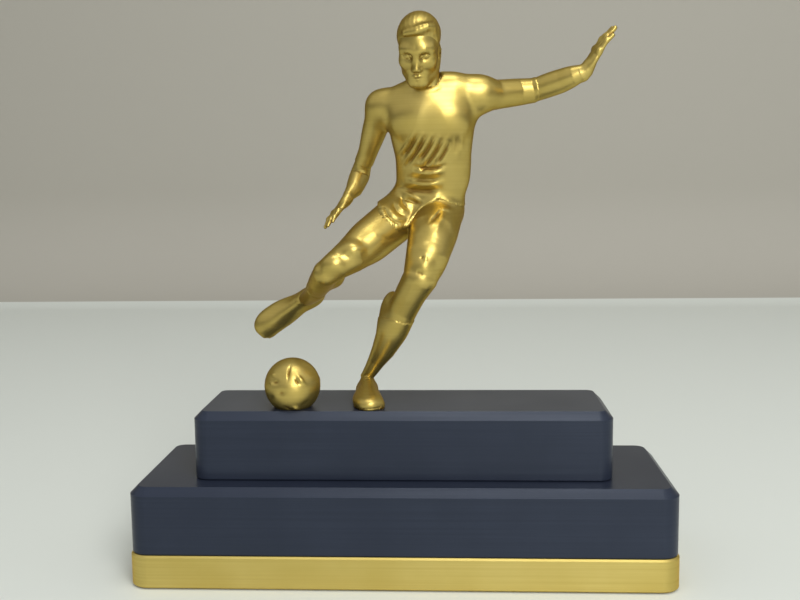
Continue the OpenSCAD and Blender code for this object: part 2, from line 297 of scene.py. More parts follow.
ARM_R = [(SHOULDER_R, 4.5), ((2.5, 12, 91.4), 3.9), ((0.2, 16, 85.5), 3.1), (ELBOW_R, 3.05),
         ((-3.2, 20, 77.2), 3.6),
         ((-4.7, 14.5, 72.6), 3.0), ((-6.3, 11, 70.4), 1.95), (WRIST_R, 1.75)]
TORSO_AT = (-8, 0, 5, 10, 17, 23, 30, 36, 40, 44)
TORSO_X = (0.2, 0, 0.7, 1.4, 1.2, 0.2, -0.3, -0.5, -0.9, -1.2)
TORSO_WIDE = (9.5, 10.8, 11.7, 12.3, 12.5, 13.1, 13.8, 12.4, 9.5, 6)
TORSO_DEEP = (7, 8.0, 7.8, 7.4, 7.6, 8.2, 8.6, 7.6, 6.4, 4.6)
TORSO_TABLES = [smooth_table(TORSO_AT, v, 4) for v in (TORSO_X, TORSO_WIDE, TORSO_DEEP)]


def trunk(p):
    """The body from hips to collar, without arms."""
    q = local(p, PELVIS, SPINE)
    x0, wide, deep = (np.interp(q[:, 2], s, v) for s, v in TORSO_TABLES)
    x, y = q[:, 0] - x0, q[:, 1]
    k0 = np.hypot(x / wide, y / deep)
    k1 = np.hypot(x / wide ** 2, y / deep ** 2) + 1e-6
    body = keep(keep(k0 * (k0 - 1) / k1, q[:, 2] - 42, 5), -8 - q[:, 2], 5)
    chest = [egg(q, (s * 5.6 - 0.3, -4.9, 32), (6.4, 3.4, 5.6)) for s in (-1, 1)]
    blades = [egg(q, (s * 6.0, 5.0, 31), (5.4, 3.4, 6.4)) for s in (-1, 1)]
    return merge(merge_all([body] + chest, 3), merge_all(blades, 3), 3)


def shoulders(p):
    return merge_all([
        tube(p, [((20.6, 1.2, 105.8), 4.6), ((29.5, 2.6, 105.0), 5.4), (SHOULDER_L, 5.0)]),
        tube(p, [((20.6, 1.2, 104.8), 4.5), (SHOULDER_R, 4.4)]),
        tube(p, [(along(CHEST, SHOULDER_L, 0.22), 7.6), (along(CHEST, SHOULDER_L, 0.8), 4.8)]),
        tube(p, [(along(CHEST, SHOULDER_R, 0.2), 7.4), (along(CHEST, SHOULDER_R, 0.88), 4.2)]),
        tube(p, [((30.8, 6, 87), 2.9), ((32.2, 6, 94.4), 3.0), ((36.6, 6.8, 99.8), 2.7)])], 3)


def upper_body(p):
    return merge(trunk(p), shoulders(p), 4)


def leg_l(p):
    lean = turned((0.3, -1, 0.2), (0.24, -0.1, 0.97))
    calf = egg(local(p, (7.8, 4.8, 30.6), lean), (0, 0, 0), (3.6, 3.9, 7.4))
    vastus = egg(p, (22.4, -1.4, 52.4), (4.4, 4.6, 9))
    knee = egg(p, (19.6, -7.0, 47.6), (3.1, 2.9, 3.6))
    return merge(merge_all([tube(p, LEG_L), calf, vastus], 2.5), knee, 1.8)


def leg_r(p):
    lean = turned((-0.37, 0.85, -0.38), (0.4, 0.3, 0.85))
    calf = egg(local(p, (-11.0, 5.2, 42.5), lean), (0, 0, 0), (3.1, 6.2, 3.1))
    vastus = egg(p, (-3.8, -5.6, 53.0), (3.6, 3.4, 2.6))
    knee = egg(p, (-10.2, -8.0, 48.6), (3.0, 2.6, 2.6))
    return merge(merge(tube(p, LEG_R), calf, 2.8), merge(vastus, knee, 1.6), 2.2)


# ---- jersey ----

def front(p):
    """Places on the front of the clothes, as (across, up), seen from ahead and a little above."""
    return p[:, 0] + 0.055 * p[:, 1], p[:, 2] + 0.125 * p[:, 1]


def curve(a, b, sag, points=5):
    """Points from a to b on a shallow arc, whose middle lies sag to the left of the straight line."""
    a, b = np.array(a, float), np.array(b, float)
    side = np.array([a[1] - b[1], b[0] - a[0]]) / math.dist(a, b)
    return [tuple(a + (b - a) * t + side * sag * 4 * t * (1 - t)) for t in np.linspace(0, 1, points)]


def shifted(point, step_by, times):
    return tuple(np.add(point, np.multiply(step_by, times)))


HEM_PEAK = (25.0, 69.5)         # highest place of the hem; right of it the hem lies flat on the thigh
FLAP_LOW = (10.0, 58.0)         # lowest place of the flap that hangs over the kicking thigh
HEM_LEFT, HEM_WAIST, HEM_RIGHT = 4.0, 72.0, 67.5
HEM = ([(-20, HEM_WAIST), (HEM_LEFT, HEM_WAIST), (HEM_LEFT + 0.5, FLAP_LOW[1] + 2)]
       + curve(FLAP_LOW, HEM_PEAK, -1.4)
       + [(HEM_PEAK[0] + 3, HEM_RIGHT), (60, HEM_RIGHT)])
BACK_HEM = 0.5
STRANDS = 5                     # pulled folds that fan across the belly
STRAND_TOP, STRAND_FOOT = (16.5, 90.5), (11.8, 84.5)
STRAND_STEP, STRAND_DROP = (2.7, -0.5), (2.7, -0.8)
ROLLS = (-0.7, 0.75, -0.6, 0.7, -0.9)           # heights of the rolls over the waist, from the top
FLAP_BENDS = (-0.6, 0.5, -0.42, 0.42, -0.36)    # heights of the bends in the flap, from its edge inwards


def belly_folds():
    """Ridges that fan down and across the belly, every other one shorter, each with a valley beside it."""
    lines = []
    for i in range(STRANDS):
        top, foot = shifted(STRAND_TOP, STRAND_STEP, i), shifted(STRAND_FOOT, STRAND_DROP, i)
        if i % 2:
            foot = shifted(foot, (-1.6, -2.4), 1)
        lines.append((curve(top, foot, 0.4), 0.68, 0.62))
        lines.append((curve(shifted(top, (1.1, -1.0), 1), shifted(foot, (1.3, -0.6), 1), 0.4), -0.6, 0.54))
    return lines


def waist_folds():
    """Rolls across the waist that dip in the middle, wider and further left towards the hem."""
    lines = []
    for i, height in enumerate(ROLLS):
        left, right = shifted((17, 80.4), (-1.0, -1.6), i), shifted((27, 80.6), (-0.4, -1.9), i)
        lines.append((curve(left, right, -0.9), height, 0.5 + 0.15 * i))
    return lines


def flap_folds():
    """Bends nested inside the flap's edge, and two pulls that run from the hip to the hem's peak."""
    lines = []
    for i, height in enumerate(FLAP_BENDS):
        high, low = shifted((6.6, 67), (1.5, 1.0), i), shifted((12.8, 61.2), (0.5, 1.4), i)
        lines.append((curve(high, low, -1.6 + 0.2 * i), height, 0.48))
    for i, height in enumerate((0.46, -0.42)):
        hip, peak = shifted((12.5, 73), (-0.8, -2.4), i), shifted((19.2, 69), (0.4, -0.9), i)
        lines.append((curve(hip, peak, 0), height, 0.6))
    return lines


def side_folds():
    return [([(u, 90), (u, 83.5)], height, 0.8) for u, height in ((30.3, -0.26), (32.4, 0.33))]


FOLDS = belly_folds() + waist_folds() + flap_folds() + side_folds()     # line, height and width of each
BACK_FOLDS = [  # line on the back, as (across, up) from the pelvis
    ([(-8, 13), (-2, 10.5), (5, 12), (10, 15)], 0.4, 1.0),
    ([(-9, 9.6), (-2, 7.4), (6, 8.6), (11, 11)], -0.4, 1.0),
    ([(-5, 6), (0, 4.2), (7, 5)], 0.35, 0.9),
    ([(-1, 38), (-1.4, 28), (-0.8, 20)], -0.4, 1.3),
    ([(-10, 26), (-7, 20), (-3, 16)], 0.35, 1.0),
    ([(11, 27), (8, 21), (4, 17)], 0.35, 1.0),
    ([(6, 1), (8, -3)], 0.3, 0.8), ([(-7, 1), (-8, -3)], 0.3, 0.8)]


def above_hem(p, q):
    """Distance above the jersey's hem, whose flap hangs over the kicking thigh."""
    u, v = front(p)
    away, _ = line_distance(u, v, HEM)
    before = np.where(v > np.interp(u, *zip(*HEM)), away, -away)
    behind = q[:, 2] - BACK_HEM
    return before + (behind - before) * step(2, 5, q[:, 1])


def folds(u, v, lines):
    return sum(high * ridge(u, v, line, wide) for line, high, wide in lines)


def sleeve(p, arm, end):
    top, bottom = np.array(arm[0][0], float), np.array(arm[3][0], float)
    return keep(tube(p, arm), beyond(p, along(top, bottom, end), bottom - top), 0.3)


NECKLINE = turned((0, -0.9, -0.42), unit(np.subtract(SKULL, NECK)))


def jersey(p):
    q = local(p, PELVIS, SPINE)
    hem = above_hem(p, q)
    u, v = front(p)
    flare = 0.48 - 0.42 * step(HEM_PEAK[0], 3, u) * step(-1, 3, -q[:, 1])
    lift = 0.35 + flare * np.exp(-np.maximum(hem, 0) / 2.0)
    over_thighs = merge(tube(p, LEG_R[:3]) - 0.35, tube(p, LEG_L[:3]), 2)
    body = merge(upper_body(p), over_thighs, 3.5)
    sleeves = np.minimum(sleeve(p, ARM_L, 1.0), sleeve(p, ARM_R, 0.92))
    body = merge(keep(body - lift, -hem, 0.35), sleeves - 0.25, 3.2)
    body = body - folds(u, v, FOLDS) * step(0, 3, -q[:, 1])
    body = body - folds(q[:, 0], q[:, 2], BACK_FOLDS) * step(1.5, 3.0, q[:, 1])
    ring = local(p, along(NECK, SKULL, 0.02), NECKLINE)
    out = np.hypot(ring[:, 0], ring[:, 1])
    rim = np.hypot(out - 5.0, ring[:, 2] - 0.2) - 0.5
    neck_hole = np.maximum(out - 4.7, -3.0 - ring[:, 2])
    return carve(merge(body, rim, 0.9), neck_hole, 0.35)


def make_jersey():
    hulls = [[(PELVIS, (11.5, 9, 7.5)), (WAIST, (12.6, 8.2, 6))],
             [(WAIST, (12.6, 8.2, 6)), (BELLY, (12.8, 8.4, 6))],
             [(BELLY, (12.8, 8.4, 6)), (CHEST, (15, 9.2, 8))],
             [(CHEST, (15, 9.2, 8)), (along(NECK, CHEST, 0.2), (9, 6.5, 4.5))],
             [(CHEST, (10, 8, 7)), (SHOULDER_L, 5.6), (NECK, (6, 5, 4))],
             [(CHEST, (10, 8, 7)), (SHOULDER_R, 5.6), (NECK, (6, 5, 4))]]
    hulls += chain(ARM_L[:3] + [(along(SHOULDER_L, ELBOW_L, 0.96), 4)], 0.3)
    hulls += chain(ARM_R[:3] + [(along(SHOULDER_R, ELBOW_R, 0.88), 3.1)], 0.3)
    hulls += [[(PELVIS, (11, 8.5, 7)), (along(HIP_R, KNEE_R, 0.28), 7.6)],
              [(PELVIS, (11, 8.5, 7)), (along(HIP_L, KNEE_L, 0.1), 8)]]
    return sculpt("player_jersey", hulls, jersey, 0.32)


# ---- shorts, legs and socks ----

SHORTS_END, SHORTS_TUCK = 0.78, 0.3     # how far down the thigh, and how far its edge dips under the skin
SHORTS_FOLDS = [  # line on the front of the shorts, height, width
    (curve(shifted(HEM_PEAK, (0.5, -4), 1), shifted(HEM_PEAK, (-3.5, -8.5), 1), 0.2), -0.5, 0.6),
    (curve(shifted(HEM_PEAK, (0, -3), 1), shifted(HEM_PEAK, (4.5, -3.5), 1), 0), 0.35, 0.8),
    ([(27, 64), (25, 61), (23.5, 58)], 0.3, 0.8), ([(5, 57), (8, 56), (12, 57.5)], -0.25, 0.8),
    ([(31, 63), (30, 58)], -0.2, 0.9)]


def shorts(p):
    q = local(p, PELVIS, SPINE)
    seat = [egg(p, np.add(PELVIS, (s * 5.2, 5.0, -3.0)), (6.2, 5.6, 7.0)) for s in (-1, 1)]
    legs = []
    for leg, knee, hip in ((leg_l(p), KNEE_L, HIP_L), (leg_r(p), KNEE_R, HIP_R)):
        cut = beyond(p, along(hip, knee, SHORTS_END), np.subtract(knee, hip))
        inside = np.minimum(cut, 0)
        lift = 0.22 * (1 - np.exp(inside / 5)) - SHORTS_TUCK * np.exp(inside / 2)
        legs.append(keep(leg - lift, cut, 0.15))
    hips = keep(merge_all([trunk(p)] + seat, 3) - 0.15, q[:, 2] - 7, 1)
    body = merge(hips, merge(legs[0], legs[1], 1.4), 3)
    u, v = front(p)
    return body - folds(u, v, SHORTS_FOLDS) * step(0, 3, -q[:, 1])


def make_shorts():
    hulls = [[(PELVIS, (11.2, 8.6, 7.4)), (WAIST, (11, 7, 4))],
             [(PELVIS, (10, 9, 7)), (HIP_L, 8.4), (HIP_R, 8.2)],
             [(np.add(PELVIS, (0, 5, -3)), (10.5, 6.4, 7.6)), (PELVIS, (10, 8, 7))]]
    hulls += chain(LEG_L[:2] + [(along(HIP_L, KNEE_L, 0.75), 6.5)], 0.3)
    hulls += chain(LEG_R[:2] + [(along(HIP_R, KNEE_R, 0.75), 5.7)], 0.3)
    return sculpt("player_shorts", hulls, shorts, 0.3)


KNEE_MARKS = [  # line on the front of the legs, height, width
    ([(18.6, 49.8), (19, 48.8)], -0.4, 0.8), ([(19.8, 50.2), (19.9, 48)], 0.25, 0.6),
    ([(16.6, 44.8), (19.4, 43.8)], -0.3, 0.8),
    ([(-4, 51.5), (-6.4, 49.5)], -0.2, 0.9), ([(16, 41), (12, 32)], 0.2, 0.9)]


def legs(p):
    u, v = front(p)
    left = keep(leg_l(p), -beyond(p, along(HIP_L, KNEE_L, 0.6), np.subtract(KNEE_L, HIP_L)), 0.5)
    right = keep(leg_r(p), -beyond(p, along(HIP_R, KNEE_R, 0.6), np.subtract(KNEE_R, HIP_R)), 0.5)
    return np.minimum(left, right) - folds(u, v, KNEE_MARKS) * step(-4, 3, -p[:, 1])


def make_legs():
    hulls = chain([(along(HIP_L, KNEE_L, 0.6), 6.6)] + LEG_L[2:], 0.2)
    hulls += chain([(along(HIP_R, KNEE_R, 0.6), 6)] + LEG_R[2:], 0.2)
    hulls += [[((8.2, 4.6, 34.5), 3.2), ((7.6, 4.8, 27), 3.2)],
              [((-10.2, 3, 43.3), 3.2), ((-12.4, 8.6, 41.3), 3.2)]]
    return sculpt("player_legs", hulls, legs, 0.32)


SOCK_L, SOCK_L_UP = (10.7, 2.2, 29.3), (0.04, 0.1, 1)
SOCK_R, SOCK_R_UP = (-18.4, 7.2, 39.5), (0.32, -0.88, 0.36)


def socks(p):
    left = keep(leg_l(p) - 0.22, beyond(p, SOCK_L, SOCK_L_UP), 0.2)
    right = keep(leg_r(p) - 0.1, beyond(p, SOCK_R, SOCK_R_UP), 0.2)
    return np.minimum(left, right)


def make_socks():
    low_l = [((9.8, 3.2, 27.4), 5.0)] + LEG_L[6:]
    low_r = [((-19.4, 9.6, 38.4), 3.7)] + LEG_R[6:]
    return sculpt("player_socks", chain(low_l, 0.25) + chain(low_r, 0.15), socks, 0.28)


# ---- boots ----

def boot(q, length, ankle, corner, cap):
    """Boot with its ankle at the origin, 8 above the sole, toe along -Y; its own toe reaches 21.8."""
    q = q * np.stack([np.ones(len(q)), np.where(q[:, 1] < 0, 21.8 / length, 1.0), np.ones(len(q))], axis=1)
    heel = egg(q, (0, 1.3, -4.9), (3.4, 4.4, 3.9))
    mid = egg(q, (-0.3, -6.4, -5.4), (3.9, 11.5, 3.2))
    toe = egg(q, (-0.4, -13.2, -5.7), (4.9, 8.2, 2.7))
    tip = egg(q, (0.4, -17.2, -8 + cap), (4.0, 4.2, cap))
    low = merge(merge_all([heel, mid, toe, tip], 3), egg(q, corner, (1.7, 2.0, 1.3)), 1.8)
    instep = tube(q, [((0, 0.4, -0.2), ankle), ((-0.1, -2.6, -1.6), ankle + 0.2), ((0, -7, -2.9), 2.0),
                      ((0.3, -13.5, -4.2), 1.3)])
    upper = keep(merge(low, instep, 2.6), -7.4 - q[:, 2], 0.8)
    sole = keep(keep(low - 0.15, q[:, 2] + 6.6, 0.5), -8 - q[:, 2], 0.6)
    around = np.hypot(q[:, 0], (q[:, 1] - 0.3) * 0.9)
    collar = np.hypot(around - ankle - 0.1, q[:, 2] - 0.1 - 0.16 * q[:, 1]) - 0.42
    tongue = egg(q, (0, -2.7, -0.3), (1.1, 0.8, 1.7))
    laces = [tube(q, [((-1.3, y, z - 0.3), 0.24), ((0, y - 0.1, z), 0.26), ((1.3, y, z - 0.3), 0.24)], 0.3)
             for y, z in ((-4.1, 0.0), (-5.7, -0.55), (-7.3, -1.1), (-8.9, -1.6))]
    shape = merge(merge(merge(upper, sole, 0.4), collar, 0.7), tongue, 0.6)
    shape = merge(shape, merge_all(laces, 0.2), 0.4)
    welt = np.abs(q[:, 2] + 6.75)
    return shape + 0.18 * np.exp(-(welt / 0.3) ** 2)


BOOT_LUMPS = [[((0, 0.4, -0.4), 2.6), ((0, 1.3, -4.7), 3.8)],
              [((0, 1.3, -4.7), 3.6), ((0, -13.5, -4.9), 3.8), ((0, -4, -3), 2.6)],
              [((1.6, -13, -5), 3.6), ((-1.4, -13, -5), 3.6), ((0.6, -18.6, -5.4), 3.0)]]
# ankle to toe, radius of the ankle, toe corner, half height of the toe
BOOT_L_SIZE = (21.8, 1.75, (3.4, -17.8, -6.9), 2.0)
BOOT_R_SIZE = (24.2, 2.3, (3.4, -18.8, -5.6), 2.9)


def boots(p):
    left = boot(local(p, ANKLE_L, BOOT_L), *BOOT_L_SIZE)
    return np.minimum(left, boot(local(p, ANKLE_R, BOOT_R), *BOOT_R_SIZE))


def make_boots():
    hulls = [placed(l, ANKLE_L, BOOT_L) for l in BOOT_LUMPS]
    hulls += [placed(l, ANKLE_R, BOOT_R) for l in BOOT_LUMPS]
    toe = [((1.6, -14, -5), 3.4), ((-1.4, -14, -5), 3.4), ((0.6, -20.8, -5.4), 3.0)]
    hulls += [placed(toe, ANKLE_R, BOOT_R)]
    return sculpt("player_boots", hulls, boots, 0.24)


# ---- arms and hands ----

HAND_L_SIZE, HAND_R_SIZE = 1.09, 0.86
FINGERS = [(-2.15, -12.6, 0.82), (-0.72, -14.8, 0.88), (0.72, -14.4, 0.86), (2.15, -12.4, 0.76)]


def finger(q, x, y, r):
    """One finger at x across the hand, its tip at y, with its middle knuckle."""
    middle = (y - 7) / 2
    bones = tube(q, [((x * 0.95, -6.6, 0.1), r), ((x * 1.05, middle, 0.15), r * 0.94),
                     ((x * 1.1, y, -0.6), r * 0.8)])
    return merge(bones, egg(q, (x * 1.04, middle - 0.6, 0.25), (r * 0.95, 1.0, r * 0.95)), 0.4)


def hand(q, side):
    """Hand with its wrist at the origin, fingers along -Y and its back up."""
    wrist = tube(q, [((0, 1.5, 0), 2.0), ((0, -1.5, 0), 1.8)])
    palm = merge(egg(q, (0, -4.2, 0.05), (3.0, 4.4, 1.4)), wrist, 1.6)
    fingers = [finger(q, *f) for f in FINGERS]
    thumb = tube(q, [((side * 1.5, -1.6, -0.4), 1.2), ((side * 3.3, -5.2, -1.5), 1.0),
                     ((side * 3.8, -8.8, -1.9), 0.75)])
    knuckles = [egg(q, (x * 0.95, -6.9, 0.75), (0.75, 0.9, 0.6)) for x, _, _ in FINGERS]
    shape = merge(palm, merge_all(fingers, 0.35), 1.0)
    shape = merge(shape, merge_all(knuckles, 0.5), 0.6)
    return merge(shape, thumb, 0.9)


def arms(p):
    left, right = tube(p, ARM_L), tube(p, ARM_R)
    left = keep(left, -beyond(p, along(SHOULDER_L, ELBOW_L, 0.55), np.subtract(ELBOW_L, SHOULDER_L)), 0.5)
    right = keep(right, -beyond(p, along(SHOULDER_R, ELBOW_R, 0.5), np.subtract(ELBOW_R, SHOULDER_R)), 0.5)
    left = merge(left, hand(local(p, WRIST_L, HAND_L) / HAND_L_SIZE, 1) * HAND_L_SIZE, 0.8)
    right = merge(right, hand(local(p, WRIST_R, HAND_R) / HAND_R_SIZE, -1) * HAND_R_SIZE, 0.8)
    return np.minimum(left, right)


def hand_lumps(origin, axes, side, size):
    rows = [[((0, 0.5, 0), 1.9), ((-1.4, -5.6, 0), 1.5), ((1.4, -5.6, 0), 1.5)]]
    rows += [[((x, -6.6, 0.1), 1.0), ((x * 1.1, y, -0.5), 0.9)] for x, y, _ in FINGERS]
    rows += [[((side * 1.5, -1.6, -0.4), 1.3), ((side * 3.3, -5.2, -1.5), 1.1)],
             [((side * 3.3, -5.2, -1.5), 1.1), ((side * 3.8, -8.8, -1.9), 0.85)]]
    return [placed([(np.multiply(c, size), r * size) for c, r in row], origin, axes) for row in rows]


def make_arms():
    hulls = chain([(along(SHOULDER_L, ELBOW_L, 0.55), 4.4)] + ARM_L[2:], 0.1)
    hulls += chain([(along(SHOULDER_R, ELBOW_R, 0.5), 3.6)] + ARM_R[2:], 0.1)
    hulls += hand_lumps(WRIST_L, HAND_L, 1, HAND_L_SIZE) + hand_lumps(WRIST_R, HAND_R, -1, HAND_R_SIZE)
    return sculpt("player_arms", hulls, arms, 0.22)


# ---- head, in its own frame: x to the side, -y to the front, z up ----

def mirrored(q, shape):
    """A shape on both sides of the face."""
    return shape(q * np.where(q[:, :1] < 0, (-1.0, 1.0, 1.0), (1.0, 1.0, 1.0)))


def face_side(q):
    """Cheek, jaw and brow of one side."""
    cheek = egg(q, (3.5, -4.2, -3.8), (2.3, 2.0, 2.2))
    jaw = tube(q, [((4.7, 1.2, -6.2), 1.6), ((3.9, -1.6, -8.6), 1.7), ((1.5, -5.2, -10.2), 1.7)])
    brow = tube(q, [((0.5, -6.8, 0.4), 0.8), ((2.6, -6.6, 0.9), 0.9), ((4.4, -5.2, 0.5), 0.9)])
    return merge_all([cheek, jaw, brow], 2.2)


def eye_side(q):
    """Eyeball and both lids of one side."""
    ball = egg(q, (2.75, -5.55, -1.15), (1.35, 1.3, 1.15))
    upper = tube(q, [((1.45, -6.45, -1.35), 0.2), ((2.1, -6.95, -0.75), 0.26), ((3.1, -6.95, -0.6), 0.27),
                     ((4.15, -6.1, -1.2), 0.2)], 0.3)
    lower = tube(q, [((1.5, -6.4, -1.45), 0.16), ((2.6, -6.8, -1.95), 0.2), ((4.1, -6.05, -1.35), 0.16)], 0.3)
    return merge(ball, merge(upper, lower, 0.2), 0.15)


def ear(q):
    r = q - np.array((5.95, 1.0, -2.4))
    r = np.stack([r[:, 0] - 0.18 * r[:, 1], r[:, 1] + 0.22 * r[:, 2], r[:, 2]], axis=1)
    shell = egg(r, (0, 0, 0), (0.95, 1.75, 2.9))
    bowl = egg(r, (0.95, -0.15, 0.3), (0.75, 0.95, 1.8))
    lobe = egg(r, (-0.1, -0.5, -2.3), (0.75, 0.8, 0.9))
    return merge(carve(shell, bowl, 0.35), lobe, 0.4)


def face(q):
    skull = merge(egg(q, (0, 1.4, 2.0), (6.7, 8.2, 7.2)), egg(q, (0, -1.7, -3.0), (5.5, 6.0, 8.2)), 2.5)
    chin = egg(q, (0, -5.8, -10.3), (2.3, 1.8, 1.7))
    shape = merge(merge(skull, chin, 2.4), mirrored(q, face_side), 2.6)
    shape = carve(shape, mirrored(q, lambda m: egg(m, (2.75, -7.6, -1.2), (1.9, 1.1, 1.1))), 1.3)
    shape = merge(shape, mirrored(q, eye_side), 0.12)
    nose = tube(q, [((0, -6.4, -0.2), 0.9), ((0, -7.6, -2.8), 0.95), ((0, -8.6, -4.6), 1.0)])
    wings = mirrored(q, lambda m: egg(m, (0.95, -7.9, -5.1), (0.7, 0.95, 0.65)))
    shape = merge(merge(shape, nose, 1.6), wings, 0.7)
    shape = merge(shape, egg(q, (0, -5.9, -7.8), (2.6, 1.3, 1.8)), 1.8)
    lip = [((0.0, -7.6, -7.55), 0.36), ((0.6, -7.6, -7.4), 0.42), ((1.9, -6.9, -7.85), 0.28)]
    upper_lip = mirrored(q, lambda m: tube(m, lip, 0.3))
    lower_lip = tube(q, [((-1.6, -6.9, -8.2), 0.32), ((0, -7.4, -8.6), 0.52), ((1.6, -6.9, -8.2), 0.32)], 0.3)
    shape = merge(shape, merge(upper_lip, lower_lip, 0.12), 0.3)
    return merge(shape, mirrored(q, ear), 0.5)


def neck(p):
    column = tube(p, [(along(NECK, SKULL, -0.3), 4.6), (along(NECK, SKULL, 0.3), 4.1),
                      (along(NECK, SKULL, 0.75) + (0, 1.6, 0), 4.3)])
    q = local(p, SKULL, HEAD)
    cords = [tube(p, [(np.add(SKULL, HEAD @ np.array((s * 5.0, 2.6, -5.6))), 1.2),
                      (np.add(NECK, (s * 1.6, -4.0, -0.6)), 1.0)]) for s in (-1, 1)]
    apple = egg(p, along(NECK, SKULL, 0.22) + (0, -3.9, 0), (0.9, 0.9, 1.1))
    return merge(merge_all([column] + cords, 1.2), apple, 0.8)


def head(p):
    return merge(face(local(p, SKULL, HEAD)), neck(p), 1.6)


def make_head():
    lumps = [[((0, 1.4, 2.0), 7.4), ((0, -1.6, -3.0), 6.0), ((0, 4, 0), 6.4)],
             [((0, -1.6, -3.0), 6.0), ((0, -5.4, -9.6), 2.6)],
             [((4.6, 1, -6), 1.9), ((-4.6, 1, -6), 1.9), ((0, -5, -9.6), 2.4), ((0, 0, 0), 5)],
             [((0, -6.6, -1), 1.0), ((0, -8.6, -4.6), 1.2)],
             [((6.0, 1, -0.6), 1.3), ((6.0, 1, -4), 1.2)], [((-6.0, 1, -0.6), 1.3), ((-6.0, 1, -4), 1.2)]]
    hulls = [placed(l, SKULL, HEAD) for l in lumps]
    hulls += [[(along(NECK, SKULL, -0.3), 4.8), (along(NECK, SKULL, 0.75) + (0, 1.6, 0), 4.6)]]
    return sculpt("player_head", hulls, head, 0.19)


# ---- hair ----

HAIRLINE = [(-12, 6.2), (-7.5, 5.9), (-6.0, 5.0), (-4.4, 3.6), (-2.8, 1.2), (-1.6, -1.8), (-0.4, -2.4),
            (0.5, -0.2), (1.6, 1.0),
            (2.9, 0.2), (3.8, -3.4), (5.2, -6.0), (12, -7.2)]
HAIRLINE_TABLE = smooth_table([h[0] for h in HAIRLINE], [h[1] for h in HAIRLINE], 0.8)


def hair(p):
    q = local(p, SKULL, HEAD)
    cap = merge(egg(q, (0, 1.5, 2.3), (7.1, 8.6, 7.5)), egg(q, (0, 4.2, -2.0), (5.9, 5.4, 6.0)), 2.0)
    quiff = tube(q, [((-3.2, -5.2, 5.8), 0.9), ((0.2, -5.8, 6.8), 1.25), ((3.6, -4.6, 7.8), 1.1),
                     ((5.2, -2.4, 7.0), 0.8)])
    shape = merge(cap, quiff, 2.6)
    line = np.interp(q[:, 1], *HAIRLINE_TABLE)
    rise = q[:, 2] - line
    shape = keep(shape + 0.7 * np.exp(-np.maximum(rise, 0) / 1.7), -0.6 * rise, 0.6)
    comb = 4.6 * (q[:, 0] + 0.16 * q[:, 1] + 0.35 * np.sin(0.7 * q[:, 1] + 0.4 * q[:, 2]))
    strands = 0.022 * np.sin(comb) + 0.012 * np.sin(2.3 * comb + 1.1 * q[:, 2])
    return shape - strands


def make_hair():
    lumps = [[((0, -2.2, 6.2), 3.8), ((0, 2.5, 3.0), 6.8), ((0, 5.0, -2.4), 4.8)],
             [((-3, -5.2, 5.4), 1.5), ((3.6, -4.6, 7.0), 1.8), ((0, 0, 4), 5)]]
    return sculpt("player_hair", [placed(l, SKULL, HEAD) for l in lumps], hair, 0.2, rounds=8)


# ---------------------------------------------------------------- ball

BALL_MARKS = [  # across, up, half length, half width, lean in degrees, height; all in millimetres
    (-5.4, 4.8, 0.7, 0.5, 0, 0.28), (-5.9, 2.0, 0.6, 0.45, 30, 0.24), (4.1, 3.4, 1.5, 0.6, -50, 0.4),
    (2.2, -6.4, 1.1, 0.7, -20, 0.4), (0.1, 5.7, 1.5, 0.4, 85, -0.35), (-4.4, 2.6, 1.1, 0.8, 20, -0.3),
    (-2.3, -0.8, 1.3, 0.9, 10, -0.28), (-0.7, -6.4, 1.0, 0.5, -30, -0.3), (5.2, -5.0, 1.6, 0.9, 40, -0.22),
    (2.9, 3.0, 1.0, 0.4, -55, -0.28), (-6.2, -3.2, 1.5, 0.9, 60, -0.2)]
BALL_SEED = 7


def ball_relief(n, r):
    """Height of the shallow marks over the ball, for unit directions n."""
    x, z = n[:, 0] * r, n[:, 2] * r
    total = np.zeros(len(n))
    for u, v, long, wide, lean, high in BALL_MARKS:
        c, s = math.cos(math.radians(lean)), math.sin(math.radians(lean))
        a, b = (x - u) * c + (z - v) * s, (z - v) * c - (x - u) * s
        total += 1.5 * high * np.exp(-(a / long) ** 2 - (b / wide) ** 2) * (n[:, 1] < 0)
    rng = np.random.default_rng(BALL_SEED)
    for _ in range(16):
        spot = unit(rng.normal(size=3) * (1, 1, 0.8) + (0, 1.2, 0.1))
        size, high = rng.uniform(0.6, 1.4), rng.choice((-0.28, -0.22, 0.26))
        apart = np.linalg.norm(n - spot, axis=1) * r
        total += high * np.exp(-(apart / size) ** 2) * (n[:, 1] > -0.2)
    return total


def make_ball():
    low, high = (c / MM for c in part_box("ball"))
    r = (high.x - low.x) / 2
    centre = Vector(((low.x + high.x) / 2, (low.y + high.y) / 2, high.z - r))
    bm = bmesh.new()
    bmesh.ops.create_icosphere(bm, subdivisions=7, radius=r)
    n = np.array([v.co for v in bm.verts]) / r
    for v, rise in zip(bm.verts, ball_relief(n, r)):
        v.co *= 1 + min(rise, 0.5) / r - 0.0005
    bmesh.ops.translate(bm, verts=bm.verts, vec=centre)
    cut = bmesh.ops.bisect_plane(bm, geom=bm.verts[:] + bm.edges[:] + bm.faces[:], dist=0.0001,
                                 plane_co=(0, 0, low.z + 0.01), plane_no=(0, 0, -1), clear_outer=True)
    rim = [e for e in cut["geom_cut"] if isinstance(e, bmesh.types.BMEdge)]
    bmesh.ops.holes_fill(bm, edges=rim, sides=0)
    bmesh.ops.scale(bm, verts=bm.verts, vec=(MM, MM, MM))
    bmesh.ops.recalc_face_normals(bm, faces=bm.faces[:])
    mesh = bpy.data.meshes.new("match_ball")
    bm.to_mesh(mesh)
    bm.free()
    mesh.polygons.foreach_set("use_smooth", [True] * len(mesh.polygons))
    ball = bpy.data.objects.new("match_ball", mesh)
    bpy.context.scene.collection.objects.link(ball)
    return ball
